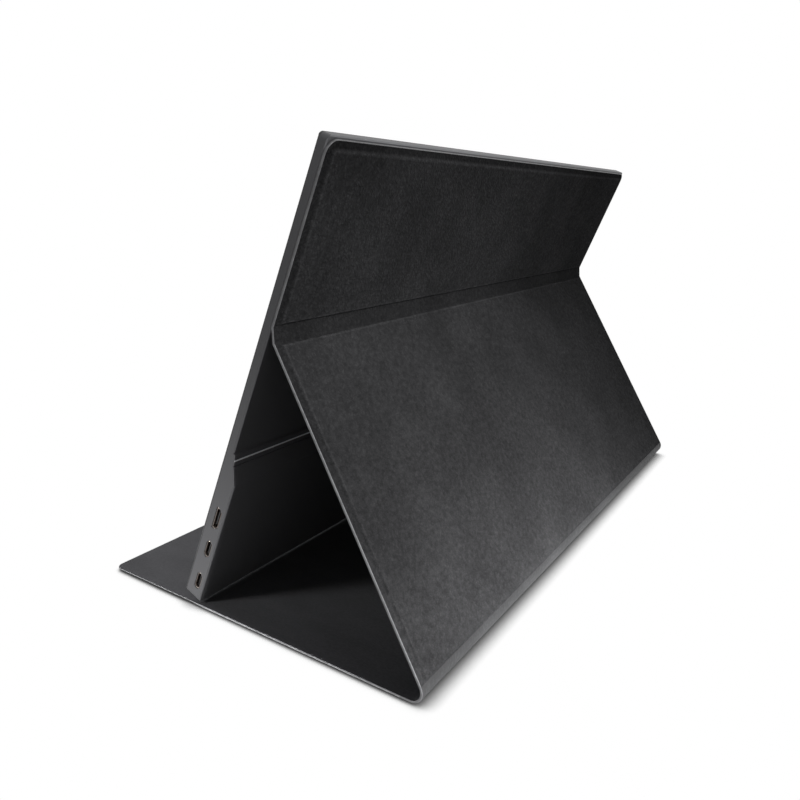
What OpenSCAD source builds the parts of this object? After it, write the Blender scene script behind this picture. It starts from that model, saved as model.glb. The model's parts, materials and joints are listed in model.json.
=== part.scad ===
// Portable monitor standing in its folding leather cover.
// The cover is one sheet in three stiff panels. The monitor leans on the upper panel, the
// stand panel props it from behind, and its bottom edge stands on the base flap.
// +Z is up, the screen faces -Y and the side with the sockets faces +X.
// The origin is on the table, in the middle of the footprint.

/* [Monitor] */
// Width of the monitor
monitor_w = 356; // [350:1:370]
// Height of the monitor, measured up the screen
monitor_h = 224; // [218:1:236]
// Thickness of the upper part
thin_t = 4.8; // [4.8:0.1:5.4]
// Thickness of the lower part, which holds the boards and the sockets
thick_t = 10.2; // [10:0.1:10.2]
// Height at which the lower part starts to get thinner
slope_start = 70; // [69:1:72]
// Height at which the thin upper part begins
slope_end = 84; // [83:1:88]
// Thickness of the shell's side walls
side_wall = 1.4; // [1.2:0.1:1.6]
// Thickness of the shell behind the boards
back_wall = 1.2; // [1:0.1:1.2]
// Radius of the monitor's four corners
corner_r = 2.5; // [1:0.5:4]

/* [Screen] */
// Width of the bezel's window
window_w = 344.8; // [330:0.2:346]
// Height of the bezel's window
window_h = 194.2; // [185:0.2:195]
// Height of the chin below the window
chin_h = 22.8; // [20:0.2:23]
// Thickness of the front bezel
bezel_t = 1; // [0.9:0.1:1]

/* [Sockets and keys] */
// Height of the display socket's middle
hdmi_v = 48.7; // [48:0.1:52]
// Height of the upper power socket's middle
usb_upper_v = 30.8; // [28:0.1:33]
// Height of the lower power socket's middle
usb_lower_v = 11.1; // [11:0.1:13]
// Distance of the sockets' middle from the thick part's back
socket_w = 3.9; // [3.9:0.1:4.1]
// Height of the headphone socket's middle
jack_v = 13; // [12:0.5:14]
// Radius of the headphone socket's bore
jack_bore_r = 1.8; // [1.75:0.05:1.85]
// Height of the power button's middle
power_v = 50; // [49:0.5:52]
// Height of the menu rocker's middle
rocker_v = 33; // [31:0.5:34]
// How far the keys stand out of the side
key_proud = 0.3; // [0.2:0.1:0.3]

/* [Cover] */
// How far the cover reaches past each side of the monitor
cover_overhang = 0.3; // [0.3:0.1:2]
// Thickness of the outer leather
skin_t = 0.6; // [0.5:0.1:0.8]
// Thickness of the stiff board between the leather and the lining
board_t = 1; // [0.8:0.1:1.6]
// Thickness of the soft lining
lining_t = 0.4; // [0.3:0.1:0.6]
// Width of the flat pressed rim round each board
rim_w = 3.5; // [3:0.5:6]
// Radius of the upper panel's corners
cover_r = 6; // [4:0.5:10]
// Radius of the base flap's front corners
flap_r = 4; // [4:0.5:8]
// Width of the flexible strip at the crease
crease_w = 7.9; // [6:0.1:10]
// Inside radius of the soft spine at the back
spine_r = 4.5; // [4:0.5:6]

/* [Stance] */
// How far the screen leans, as its angle to the table
tilt = 67.4; // [64:0.2:70]
// Depth of the base flap, from its front edge to the corner of the spine
base_l = 188.4; // [180:0.2:200]
// Distance of the monitor's foot from the base flap's front edge
foot_from_front = 63.2; // [58:0.2:68]
// Height on the monitor at which the upper panel ends
crease_v = 147; // [143:0.5:152]
// Distance from the spine's corner to the base flap's board
base_fold_run = 13; // [11:0.5:16]

/* [Hidden] */
$fn = 32;
over = 0.5;

// Cover: thicknesses and the two pressed steps of the board's shoulder
sheet_w = monitor_w + 2 * cover_overhang;
rim_t = lining_t + skin_t;
panel_t = rim_t + board_t;
shoulder_z = rim_t + board_t * 0.6;
shoulder_in = 0.6;
shoulder_top = 0.25;
fold_margin = 0.8;

// Stance: places in the plane of the table's depth and height
foot_gap = 0.25;
lining_gap = 0.1;
thin_z = thick_t - thin_t;
seam_z = thick_t - bezel_t;
sheet_z = thin_z - lining_gap;
up = [cos(tilt), sin(tilt)];
back = [sin(tilt), -cos(tilt)];
foot = [foot_from_front, panel_t + foot_gap];
crease_top = foot - back * sheet_z + up * crease_v;
fold_corner = [base_l, panel_t];
// The strip at the crease leans halfway between the upper panel and the stand panel
function stand_lean(guess, left) = left == 0 ? guess : stand_lean(
    let (
        heading = (tilt + guess) / 2,
        low = crease_top - crease_w * [cos(heading), sin(heading)]
    ) atan2(low[1] - fold_corner[1], low[0] - fold_corner[0]), left - 1);
stand_heading = stand_lean(119, 12);
strip_heading = (tilt + stand_heading) / 2;
crease_low = crease_top - crease_w * [cos(strip_heading), sin(strip_heading)];
stand_l = norm(crease_low - fold_corner);
spine_run = spine_r / tan((180 - stand_heading) / 2);
spine_mid = fold_corner + [-spine_run, spine_r];
base_end = base_l - base_fold_run + fold_margin;
stand_end = spine_run + 0.1;
depth = spine_mid[0] + spine_r + rim_t;
front_y = -depth / 2;

// Monitor: places inside the shell, on its back with the screen up
wall_thin = 0.8;
bevel = 0.5;
groove_v = slope_start + 8.2;
groove_w = 0.6;
tray_z = 6.6;
tray_t = 0.25;
guide_in = 4.4;
board_z = 1.5;
pcb_t = 0.8;
board_top = board_z + pcb_t;
screw_z = 4.6;
shell_screw_x = [-150, -50, 50, 150];
board_screw_at = [[30, 56], [104, 28], [164, 56], [112, 8]];
speaker_x = 80;
magnet_x = 110;
magnet_v = [crease_v + 14, monitor_h - 24];
key_x = -monitor_w / 2;
switch_x = key_x + 6;
jack_w = 4.3;
pin_x = key_x + 3.6;

// Places

// The monitor and the upper panel, from lying on their backs to leaning as they stand
module at_monitor() {
    translate([0, front_y + foot[0], foot[1]]) rotate([tilt, 0, 0]) children();
}

// A panel drawn with its inner face at z = 0: the upper panel, on the monitor's back
module at_upper() {
    at_monitor() translate([0, 0, sheet_z]) children();
}

// The stand panel, drawn from the spine's corner up
module at_stand() {
    translate([0, front_y + fold_corner[0], fold_corner[1]])
        rotate([stand_heading, 0, 0]) children();
}

// The base flap, drawn from its front edge back
module at_base() {
    translate([0, front_y, panel_t]) children();
}

// Draws an outline of depth and height, and runs it across the width
module across(width) {
    rotate([90, 0, 90]) translate([0, 0, -width / 2]) linear_extrude(width) children();
}

// Outlines

// A rectangle between two heights with round corners at the chosen ends
module sheet_outline(width, low, high, low_r, high_r) {
    for (end = [[low, low_r, 1], [high, high_r, -1]])
        for (side = [-1, 1])
            if (end[1] > 0)
                translate([side * (width / 2 - end[1]), end[0] + end[2] * end[1]])
                    circle(end[1], $fn = 48);
    translate([-width / 2, low + low_r]) square([width, high - low - low_r - high_r]);
    translate([-width / 2 + low_r, low]) square([width - 2 * low_r, high - low - high_r]);
    translate([-width / 2 + high_r, low + low_r]) square([width - 2 * high_r, high - low - low_r]);
}

module slot_outline(length, height) {
    square([length - height, height], center = true);
    for (side = [-1, 1]) translate([side * (length - height) / 2, 0]) circle(height / 2);
}

// The shape of a small display socket: wide at the front side, narrower at the back
module hdmi_outline(length, height) {
    shoulder = height * 0.45;
    polygon([
        [-length / 2, height / 2], [-length / 2, height / 2 - shoulder],
        [-length / 2 + shoulder, -height / 2], [length / 2 - shoulder, -height / 2],
        [length / 2, height / 2 - shoulder], [length / 2, height / 2]
    ]);
}

// Runs an outline of height and thickness into the monitor from one side
module into_side(x, deep) {
    translate([x, 0, 0]) rotate([90, 0, 90]) linear_extrude(deep) children();
}

// Monitor

// The back seen from the end: flat, a slope with a groove across it, a riser, and flat again
shell_outline = [
    [bevel, 0], [slope_start, 0], [groove_v, thin_z * 0.6], [groove_v, thin_z * 0.6 + 0.35],
    [groove_v + groove_w, thin_z * 0.6 + 0.35], [groove_v + groove_w, thin_z * 0.63],
    [slope_end - 0.4, thin_z * 0.79], [slope_end, thin_z], [monitor_h - bevel, thin_z],
    [monitor_h, thin_z + bevel], [monitor_h, seam_z], [0, seam_z], [0, bevel]
];
shell_inside = [
    [side_wall, back_wall], [slope_start - 0.6, back_wall], [groove_v - 1, thin_z * 0.82],
    [slope_end, thin_z + wall_thin], [monitor_h - side_wall, thin_z + wall_thin],
    [monitor_h - side_wall, thick_t], [side_wall, thick_t]
];

module edge_bevel(low, high, z) {
    size = bevel * sqrt(2);
    for (side = [-1, 1])
        translate([side * monitor_w / 2, (low + high) / 2, z])
            rotate([0, 45, 0]) cube([size, high - low, size], center = true);
}

module socket_cuts() {
    side_x = monitor_w / 2 - side_wall - over;
    deep = side_wall + 2 * over;
    for (v = [usb_upper_v, usb_lower_v])
        into_side(side_x, deep) translate([v, socket_w]) slot_outline(9.3, 3.5);
    into_side(side_x, deep) translate([hdmi_v, socket_w]) hdmi_outline(11.7, 3.6);
    into_side(key_x - over, deep) translate([jack_v, jack_w]) circle(2.5);
    into_side(key_x - over, deep) translate([power_v, socket_w]) slot_outline(8.8, 3);
    into_side(key_x - over, deep) translate([rocker_v, socket_w]) slot_outline(13, 3.2);
}

module speaker_slots() {
    for (side = [-1, 1]) for (i = [-5 : 5])
        translate([side * speaker_x + i * 3.2 - 0.6, -over, 2.6])
            cube([1.2, side_wall + 2 * over, 3]);
}

module rear_shell() {
    color("dimgray") at_monitor() {
        difference() {
            intersection() {
                across(monitor_w) polygon(shell_outline);
                linear_extrude(thick_t) sheet_outline(monitor_w, 0, monitor_h, corner_r, corner_r);
            }
            across(monitor_w - 2 * side_wall) polygon(shell_inside);
            edge_bevel(0, slope_start, 0);
            edge_bevel(slope_end, monitor_h, thin_z);
            socket_cuts();
            speaker_slots();
            for (x = shell_screw_x) translate([x, 0, screw_z]) rotate([-90, 0, 0]) {
                translate([0, 0, -over]) cylinder(r = 0.9, h = side_wall + 2 * over);
                translate([0, 0, -over]) cylinder(r = 1.6, h = 0.7 + over);
            }
            for (p = board_screw_at)
                translate([p[0], p[1], board_z - 0.8]) cylinder(r = 0.75, h = board_z);
        }
        // Pads for the main board, posts for the screen's tray, and stiffening ribs
        for (p = board_screw_at) translate([p[0], p[1], back_wall]) difference() {
            cylinder(r = 2, h = board_z - back_wall);
            translate([0, 0, -over]) cylinder(r = 0.75, h = 2 * over + board_z);
        }
        for (x = [-150, -50, 50, 150])
            translate([x, slope_start - 4, back_wall]) cylinder(r = 2, h = tray_z - back_wall);
        for (v = [22, 54])
            translate([switch_x + 10, v, back_wall]) cylinder(r = 1.5, h = board_z - back_wall);
        for (x = [-140, -120, -100, -40, -20, 0])
            translate([x, 24, back_wall]) cube([1, 38, 1]);
        translate([pin_x, rocker_v, back_wall]) difference() {
            cylinder(r = 1.4, h = 0.9);
            cylinder(r = 0.52, h = 1);
        }
    }
}

module front_bezel() {
    lug_w = 6;
    lug_low = 3;
    color([0.09, 0.09, 0.1]) at_monitor() {
        difference() {
            translate([0, 0, seam_z]) linear_extrude(bezel_t) difference() {
                sheet_outline(monitor_w, 0, monitor_h, corner_r, corner_r);
                sheet_outline(window_w, chin_h, chin_h + window_h, 1, 1);
            }
            edge_bevel(0, monitor_h, thick_t);
        }
        for (x = shell_screw_x) difference() {
            translate([x - lug_w / 2, side_wall + 0.1, lug_low]) cube([lug_w, 4, seam_z - lug_low]);
            translate([x, 0, screw_z]) rotate([-90, 0, 0]) cylinder(r = 0.85, h = 8);
        }
    }
}

// A flat layer of the screen, inset from the monitor's sides and resting at a height
module screen_layer(inset, low, z, t) {
    at_monitor() translate([0, 0, z])
        linear_extrude(t) sheet_outline(monitor_w - 2 * inset, low, monitor_h - inset, 0.5, 0.5);
}

module lcd_cell() {
    color([0.03, 0.03, 0.04]) screen_layer(3, 14.3, 8.02, seam_z - 8.05);
}

module optical_films() {
    color("ghostwhite") screen_layer(guide_in, 19.2, 7.62, 0.36);
}

module light_guide() {
    color("lightcyan") screen_layer(guide_in, 19.2, 7.02, 0.58);
}

module reflector_sheet() {
    color("white") screen_layer(guide_in, 19.2, tray_z + tray_t + 0.02, 0.13);
}

module led_bar() {
    bar_w = monitor_w - 18;
    led_count = 24;
    color("khaki") at_monitor() {
        translate([-bar_w / 2, 15.8, tray_z + tray_t]) cube([bar_w, 3.2, 0.25]);
        for (i = [0 : led_count - 1])
            translate([-bar_w / 2 + bar_w * (i + 0.5) / led_count - 1.5, 17.4, tray_z + tray_t])
                cube([3, 1.5, 0.75]);
    }
}

module panel_tray() {
    lip = 0.3;
    lip_h = 7.98 - tray_z;
    color("silver") difference() {
        screen_layer(3.8, 15, tray_z, lip_h);
        at_monitor() translate([0, 0, tray_z + tray_t]) linear_extrude(lip_h)
            sheet_outline(monitor_w - 7.6 - 2 * lip, 15 + lip, monitor_h - 3.8 - lip, 0.4, 0.4);
    }
}

module timing_board() {
    color("darkgreen") at_monitor() {
        translate([-110, 20, 5.6]) cube([220, 14, pcb_t]);
        for (x = [-80, -30, 20]) translate([x, 23, 4.9]) cube([10, 8, 0.71]);
    }
}

module display_cable() {
    color("goldenrod") at_monitor() translate([68, 0, 0]) across(16) polygon([
        [58, board_top], [52, board_top], [38, 5.3], [30, 5.3],
        [30, 5.6], [38.1, 5.6], [52.1, board_top + 0.3], [58, board_top + 0.3]
    ]);
}

module main_board() {
    board_x = monitor_w / 2 - side_wall - 0.4;
    color("darkgreen") at_monitor() difference() {
        translate([0, 0, board_z]) linear_extrude(pcb_t)
            polygon([[20, 22], [108, 22], [108, 4], [board_x, 4], [board_x, 62], [20, 62]]);
        for (p = board_screw_at) translate([p[0], p[1], 0]) cylinder(r = 0.9, h = 4);
    }
}

module board_chips() {
    color([0.15, 0.15, 0.17]) at_monitor() translate([0, 0, board_top]) {
        for (chip = [[92, 38, 14, 14, 1.2], [112, 38, 10, 10, 1.2], [126, 20, 8, 8, 1],
                     [34, 30, 12, 8, 1], [48, 46, 6, 6, 1.4], [140, 40, 12, 12, 2]])
            translate([chip[0], chip[1], 0]) cube([chip[2], chip[3], chip[4]]);
    }
}

module heat_spreader() {
    color("silver") at_monitor() translate([88, 34, board_top + 1.2]) cube([38, 22, 0.8]);
}

module board_screws() {
    color("gainsboro") at_monitor() for (p = board_screw_at) translate([p[0], p[1], 0]) {
        translate([0, 0, board_top]) cylinder(r = 1.5, h = 0.6);
        translate([0, 0, board_top - 1.5]) cylinder(r = 0.7, h = 1.6);
    }
}

// A power and picture socket: a drawn steel shell with a contact tongue in its mouth
module usb_c_port(v) {
    length = 7.4;
    mouth_x = monitor_w / 2 - 0.2;
    color("darkgray") at_monitor() {
        into_side(mouth_x - length, length) translate([v, socket_w]) difference() {
            slot_outline(8.9, 3.16);
            slot_outline(8.3, 2.56);
        }
        into_side(mouth_x - length, 1) translate([v, socket_w]) slot_outline(8.4, 2.6);
        into_side(mouth_x - length, length - 0.8) translate([v, socket_w])
            square([6.7, 0.7], center = true);
    }
}

module usb_c_port_upper() usb_c_port(usb_upper_v);

module usb_c_port_lower() usb_c_port(usb_lower_v);

module mini_hdmi_port() {
    length = 7.6;
    mouth_x = monitor_w / 2 - 0.2;
    color("darkgray") at_monitor() {
        into_side(mouth_x - length, length) translate([hdmi_v, socket_w]) difference() {
            hdmi_outline(11.2, 3.16);
            hdmi_outline(10.4, 2.4);
        }
        into_side(mouth_x - length, 1) translate([hdmi_v, socket_w]) hdmi_outline(10.6, 2.6);
        into_side(mouth_x - length, length - 0.8) translate([hdmi_v, socket_w + 0.2])
            square([7.4, 0.8], center = true);
    }
}

module headphone_jack() {
    length = 13.6;
    color([0.06, 0.06, 0.07]) at_monitor() difference() {
        union() {
            into_side(key_x + 0.1, length) translate([jack_v, jack_w]) circle(2.45);
            translate([key_x + side_wall + 0.4, jack_v - 3.2, back_wall + 0.05])
                cube([length - side_wall - 0.3, 6.4, jack_w - back_wall - 0.05]);
        }
        into_side(key_x, length - 1.2) translate([jack_v, jack_w]) circle(jack_bore_r);
    }
}

module key_board() {
    color("darkgreen") at_monitor() translate([switch_x + 1, 18, board_z]) cube([13, 40, pcb_t]);
}

// Three side-push switches: one behind the power button, two behind the rocker
module key_switches() {
    color("gainsboro") at_monitor() for (v = [power_v, rocker_v - 4, rocker_v + 4]) {
        translate([switch_x + 1, v - 1.8, board_top]) cube([3, 3.6, 2.8]);
        translate([switch_x, v, socket_w]) rotate([0, 90, 0]) cylinder(r = 0.6, h = 1.1);
    }
}

module key_cable() {
    color("goldenrod") at_monitor() translate([switch_x + 8, 42, board_top])
        cube([20 - switch_x, 6, 0.25]);
}

module power_button() {
    flange_x = key_x + side_wall + 0.1;
    color([0.12, 0.12, 0.13]) at_monitor() {
        into_side(key_x - key_proud, side_wall + key_proud + 0.2)
            translate([power_v, socket_w]) slot_outline(8.2, 2.4);
        into_side(flange_x, 0.6) translate([power_v, socket_w]) slot_outline(10, 3.6);
        into_side(flange_x, switch_x - 0.45 - flange_x) translate([power_v, socket_w])
            square([2, 1.6], center = true);
    }
}

module menu_rocker() {
    color([0.12, 0.12, 0.13]) at_monitor() difference() {
        union() {
            into_side(key_x - key_proud, 1.5) translate([rocker_v, socket_w])
                slot_outline(12, 2.4);
            into_side(key_x + 1, pin_x - key_x - 1) translate([rocker_v, socket_w])
                square([2.4, 2], center = true);
            translate([pin_x, rocker_v, socket_w - 1]) cylinder(r = 1.2, h = 2);
            into_side(key_x + 4.6, 0.9) translate([rocker_v, socket_w])
                square([10, 1.6], center = true);
        }
        translate([pin_x, rocker_v, 0]) cylinder(r = 0.55, h = 8);
    }
}

module rocker_pin() {
    color("silver") at_monitor() translate([pin_x, rocker_v, back_wall + 0.02])
        cylinder(r = 0.5, h = 4);
}

module speaker(side) {
    size = [40, 13, 4.6];
    color([0.1, 0.1, 0.1]) at_monitor()
        translate([side * speaker_x - size[0] / 2, side_wall + 0.3, back_wall + 0.1]) difference() {
            cube(size);
            translate([2, -over, 1.2]) cube([size[0] - 4, over + 1.5, 2.4]);
        }
}

module left_speaker() speaker(-1);

module right_speaker() speaker(1);

// One lead for each speaker, along the shell's floor and up to the main board's lower edge
module speaker_leads() {
    lead_v = 18;
    lead_z = 2.6;
    lead_r = 0.5;
    from_v = side_wall + 0.3 + 13;
    color("firebrick") at_monitor() for (lead = [[-speaker_x, 26], [speaker_x, 34]]) {
        low = min(lead[0], lead[1]);
        for (x = lead) translate([x, lead_v, lead_z]) sphere(lead_r);
        translate([low, lead_v, lead_z]) rotate([0, 90, 0])
            cylinder(r = lead_r, h = max(lead[0], lead[1]) - low);
        translate([lead[0], from_v, lead_z]) rotate([-90, 0, 0])
            cylinder(r = lead_r, h = lead_v - from_v);
        translate([lead[1], lead_v, lead_z]) rotate([-90, 0, 0]) cylinder(r = lead_r, h = 3.9);
    }
}

// Steel plates inside the thin back, which the cover's magnets hold on to
module attraction_plates() {
    color("lightsteelblue") at_monitor() for (v = magnet_v) for (side = [-1, 1])
        translate([side * magnet_x - 24, v - 6, thin_z + wall_thin + 0.02])
            cube([48, 12, 0.3]);
}

module shell_screws() {
    color("silver") at_monitor() for (x = shell_screw_x)
        translate([x, 0.1, screw_z]) rotate([-90, 0, 0]) {
            cylinder(r = 1.45, h = 0.55);
            cylinder(r = 0.8, h = 5.2);
        }
}

// Cover panels, drawn with the inner face at z = 0 and the leather outwards, below it.
// ends holds the two ends, the corner radius at each, and the board's distance from each.
// A free end has a pressed rim, and at a fold the leather runs on into the next strip.

function free_end(at, r) = [at, r, rim_w];
function fold_end(at) = [at, 0, fold_margin];

module layer(ends, inset, z, t) {
    low = ends[0];
    high = ends[1];
    low_r = max(low[1] - inset, 0);
    high_r = max(high[1] - inset, 0);
    low_in = inset == 0 ? 0 : low[2] - rim_w + inset;
    high_in = inset == 0 ? 0 : high[2] - rim_w + inset;
    translate([0, 0, -z - t]) linear_extrude(t)
        sheet_outline(sheet_w - 2 * inset, low[0] + low_in, high[0] - high_in, low_r, high_r);
}

module lining(ends) {
    layer(ends, 0, 0, lining_t);
}

module board(ends) {
    layer(ends, rim_w, lining_t, board_t);
}

module skin(ends) {
    difference() {
        union() {
            layer(ends, 0, lining_t, skin_t);
            layer(ends, rim_w - shoulder_in, rim_t - 0.01, shoulder_z - rim_t + 0.01);
            layer(ends, rim_w - shoulder_top, shoulder_z - 0.01, panel_t - shoulder_z + 0.01);
        }
        board(ends);
    }
}

upper_ends = [fold_end(crease_v), free_end(monitor_h - 1, cover_r)];
stand_ends = [fold_end(stand_end), fold_end(stand_l)];
base_ends = [free_end(0, flap_r), fold_end(base_end)];
magnet_size = [40, 8];

module magnets(places, grow) {
    for (p = places)
        translate([p[0], p[1], -lining_t - board_t / 2])
            cube([magnet_size[0] + grow, magnet_size[1] + grow, board_t - 0.1 + grow], center = true);
}

upper_magnets_at = [for (v = magnet_v) for (side = [-1, 1]) [side * magnet_x, v]];
flap_magnets_at = [for (side = [-1, 1]) [side * magnet_x, 10]];

module upper_skin() {
    color([0.13, 0.13, 0.13]) at_upper() skin(upper_ends);
}

module upper_board() {
    color("tan") at_upper() difference() {
        board(upper_ends);
        magnets(upper_magnets_at, 0.2);
    }
}

module upper_lining() {
    color([0.2, 0.2, 0.2]) at_upper() lining(upper_ends);
}

module cover_magnets() {
    color("lightslategray") at_upper() magnets(upper_magnets_at, 0);
}

module stand_skin() {
    color([0.24, 0.24, 0.24]) at_stand() skin(stand_ends);
}

module stand_board() {
    color("tan") at_stand() board(stand_ends);
}

module stand_lining() {
    color([0.2, 0.2, 0.2]) at_stand() lining(stand_ends);
}

module base_skin() {
    color([0.24, 0.24, 0.24]) at_base() skin(base_ends);
}

module base_board() {
    color("tan") at_base() difference() {
        board(base_ends);
        magnets(flap_magnets_at, 0.2);
    }
}

module base_lining() {
    color([0.32, 0.32, 0.32]) at_base() lining(base_ends);
}

module flap_magnets() {
    color("lightslategray") at_base() magnets(flap_magnets_at, 0);
}

// Flexible strips, seen from the end and run across the width

// Meets the stand panel square across its end, and stops just short of the upper panel
module crease_strip() {
    reach = rim_t / cos(strip_heading - tilt);
    top = crease_top - 0.02 * up;
    color([0.15, 0.15, 0.15]) translate([0, front_y, 0]) across(sheet_w) polygon([
        top, crease_low, crease_low + reach * [sin(stand_heading), -cos(stand_heading)],
        top + reach * back
    ]);
}

// The outside of the soft bend and its two straight ends, less the space inside them
module spine_strip() {
    out_r = spine_r + rim_t;
    reach = 3 * out_r;
    lap = 0.5;
    last = stand_heading + lap;
    color([0.2, 0.2, 0.2]) translate([0, front_y, 0]) across(sheet_w) difference() {
        union() {
            intersection() {
                translate(spine_mid) circle(out_r, $fn = 96);
                polygon([
                    spine_mid, spine_mid - reach * [sin(lap), cos(lap)],
                    spine_mid + reach * [1, -1], spine_mid + reach * [sin(last), -cos(last)]
                ]);
            }
            translate([base_end, panel_t - rim_t])
                square([spine_mid[0] - base_end, rim_t + spine_r / 2]);
            translate(fold_corner) rotate(stand_heading) translate([spine_run, -rim_t])
                square([stand_end - spine_run, rim_t + spine_r / 2]);
        }
        translate(spine_mid) circle(spine_r, $fn = 96);
        translate([base_end - over, panel_t])
            square([spine_mid[0] - base_end + over, spine_r]);
        translate(fold_corner) rotate(stand_heading) translate([spine_run, 0])
            square([stand_end - spine_run + over, spine_r]);
    }
}

rear_shell();
front_bezel();
lcd_cell();
optical_films();
light_guide();
reflector_sheet();
led_bar();
panel_tray();
timing_board();
display_cable();
main_board();
board_chips();
heat_spreader();
board_screws();
usb_c_port_upper();
usb_c_port_lower();
mini_hdmi_port();
headphone_jack();
key_board();
key_switches();
key_cable();
power_button();
menu_rocker();
rocker_pin();
left_speaker();
right_speaker();
speaker_leads();
attraction_plates();
shell_screws();
upper_skin();
upper_board();
upper_lining();
cover_magnets();
crease_strip();
stand_skin();
stand_board();
stand_lining();
spine_strip();
base_skin();
base_board();
base_lining();
flap_magnets();
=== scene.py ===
"""Looks of a portable monitor standing in its folding leather cover.

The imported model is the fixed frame. The leather, the lining, the sockets and the screw heads are
modelled here around it, and the other parts of the frame get their finishes.
"""

import json
import math

import bmesh
import bpy
from bpy.props import FloatProperty, FloatVectorProperty, PointerProperty
from mathutils import Matrix, Vector
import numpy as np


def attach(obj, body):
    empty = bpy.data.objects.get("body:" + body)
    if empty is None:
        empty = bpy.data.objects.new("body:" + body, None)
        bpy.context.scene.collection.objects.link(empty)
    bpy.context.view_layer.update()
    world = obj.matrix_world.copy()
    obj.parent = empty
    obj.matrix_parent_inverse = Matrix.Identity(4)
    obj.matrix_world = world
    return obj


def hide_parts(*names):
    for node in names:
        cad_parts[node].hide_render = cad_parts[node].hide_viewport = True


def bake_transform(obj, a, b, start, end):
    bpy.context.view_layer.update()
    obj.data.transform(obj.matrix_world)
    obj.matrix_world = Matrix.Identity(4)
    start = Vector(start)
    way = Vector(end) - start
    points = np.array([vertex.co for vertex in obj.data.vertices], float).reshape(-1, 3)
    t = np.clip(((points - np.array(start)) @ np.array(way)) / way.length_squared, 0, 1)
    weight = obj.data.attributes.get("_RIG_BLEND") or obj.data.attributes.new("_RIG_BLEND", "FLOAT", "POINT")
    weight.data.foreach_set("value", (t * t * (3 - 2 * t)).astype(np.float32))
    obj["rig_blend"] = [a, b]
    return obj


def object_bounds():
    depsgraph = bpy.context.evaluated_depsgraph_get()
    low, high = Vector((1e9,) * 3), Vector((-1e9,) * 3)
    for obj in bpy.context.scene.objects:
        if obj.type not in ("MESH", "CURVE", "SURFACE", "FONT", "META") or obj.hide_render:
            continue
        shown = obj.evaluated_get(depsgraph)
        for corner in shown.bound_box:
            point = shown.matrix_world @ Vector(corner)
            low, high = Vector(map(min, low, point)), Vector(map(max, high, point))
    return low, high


bl_info = {
    "name": "Portable monitor with cover",
    "version": (1, 0, 0),
    "blender": (4, 5, 0),
    "location": "View3D > Sidebar > Monitor",
    "description": "Dresses a portable monitor and the folding cover that it stands in",
    "category": "Add Mesh",
}

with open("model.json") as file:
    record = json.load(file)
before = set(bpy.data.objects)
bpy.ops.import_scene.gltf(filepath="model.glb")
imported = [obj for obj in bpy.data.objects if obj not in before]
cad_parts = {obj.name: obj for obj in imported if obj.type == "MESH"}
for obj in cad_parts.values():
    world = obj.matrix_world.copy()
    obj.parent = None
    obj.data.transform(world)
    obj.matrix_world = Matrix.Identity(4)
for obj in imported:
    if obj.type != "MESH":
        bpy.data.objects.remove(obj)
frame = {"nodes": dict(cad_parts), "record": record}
CAD_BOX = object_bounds()

MM = 0.001
NODES = frame["nodes"]


def linear(hex_colour):
    """An sRGB hex colour as three linear values."""
    values = [int(hex_colour[i : i + 2], 16) / 255 for i in (1, 3, 5)]
    return tuple(v / 12.92 if v <= 0.04045 else ((v + 0.055) / 1.055) ** 2.4 for v in values)


# Sizes and colours that a user may change

LENGTH = {"subtype": "DISTANCE", "unit": "LENGTH"}
COLOUR = {"size": 3, "subtype": "COLOR"}


class CoverSettings(bpy.types.PropertyGroup):
    """The folding cover's leather and lining."""

    edge_r: FloatProperty(
        name="Edge radius",
        description="Rounding of the leather's outer edge",
        default=0.32 * MM,
        **LENGTH,
    )
    shoulder_w: FloatProperty(
        name="Shoulder width",
        description="Width over which the leather climbs from the pressed rim on to the board",
        default=1.5 * MM,
        **LENGTH,
    )
    grain: FloatProperty(
        name="Grain size",
        description="Size of one pebble of the embossed grain",
        default=1.5 * MM,
        **LENGTH,
    )
    leather: FloatVectorProperty(
        name="Leather", description="Colour of the leather", default=linear("#353536"), **COLOUR
    )
    # The edge's pale colour is partly its own grey and partly a painted highlight
    edge: FloatVectorProperty(
        name="Edge", description="Colour of the sealed edge", default=linear("#6c6c6e"), **COLOUR
    )
    lining: FloatVectorProperty(
        name="Lining", description="Colour of the soft lining", default=linear("#29292b"), **COLOUR
    )


class MonitorSettings(bpy.types.PropertyGroup):
    """The monitor's housing and screen."""

    shell: FloatVectorProperty(
        name="Shell", description="Colour of the rear shell", default=linear("#515153"), **COLOUR
    )
    bezel: FloatVectorProperty(
        name="Bezel",
        description="Colour of the front bezel and the keys",
        default=linear("#1c1c1e"),
        **COLOUR,
    )
    screen: FloatVectorProperty(
        name="Screen",
        description="Colour of the screen when it is off",
        default=linear("#0d0e11"),
        **COLOUR,
    )
    socket_lip: FloatProperty(
        name="Socket lip",
        description="Wall thickness of the drawn socket shells",
        default=0.3 * MM,
        **LENGTH,
    )


class StageSettings(bpy.types.PropertyGroup):
    """Floor and lights."""

    floor_half: FloatProperty(
        name="Floor half width", description="Half the width of the floor", default=6.0, **LENGTH
    )
    key_power: FloatProperty(
        name="Key light",
        description="Power of the lamp high up behind the cover",
        default=60.0,
        unit="POWER",
    )
    side_power: FloatProperty(
        name="Side light",
        description="Power of the lamp that lights the side with the sockets",
        default=58.0,
        unit="POWER",
    )
    back_power: FloatProperty(
        name="Back light",
        description="Power of the low lamp that lights the foot of the stand panel",
        default=144.0,
        unit="POWER",
    )
    front_power: FloatProperty(
        name="Front light",
        description="Power of the lamp that lights the screen and the flap before it",
        default=95.0,
        unit="POWER",
    )
    room_strength: FloatProperty(
        name="Room light", description="Strength of the even light from all round", default=0.42
    )


# Stance: the driving dimensions of the part's source, in metres


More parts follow.
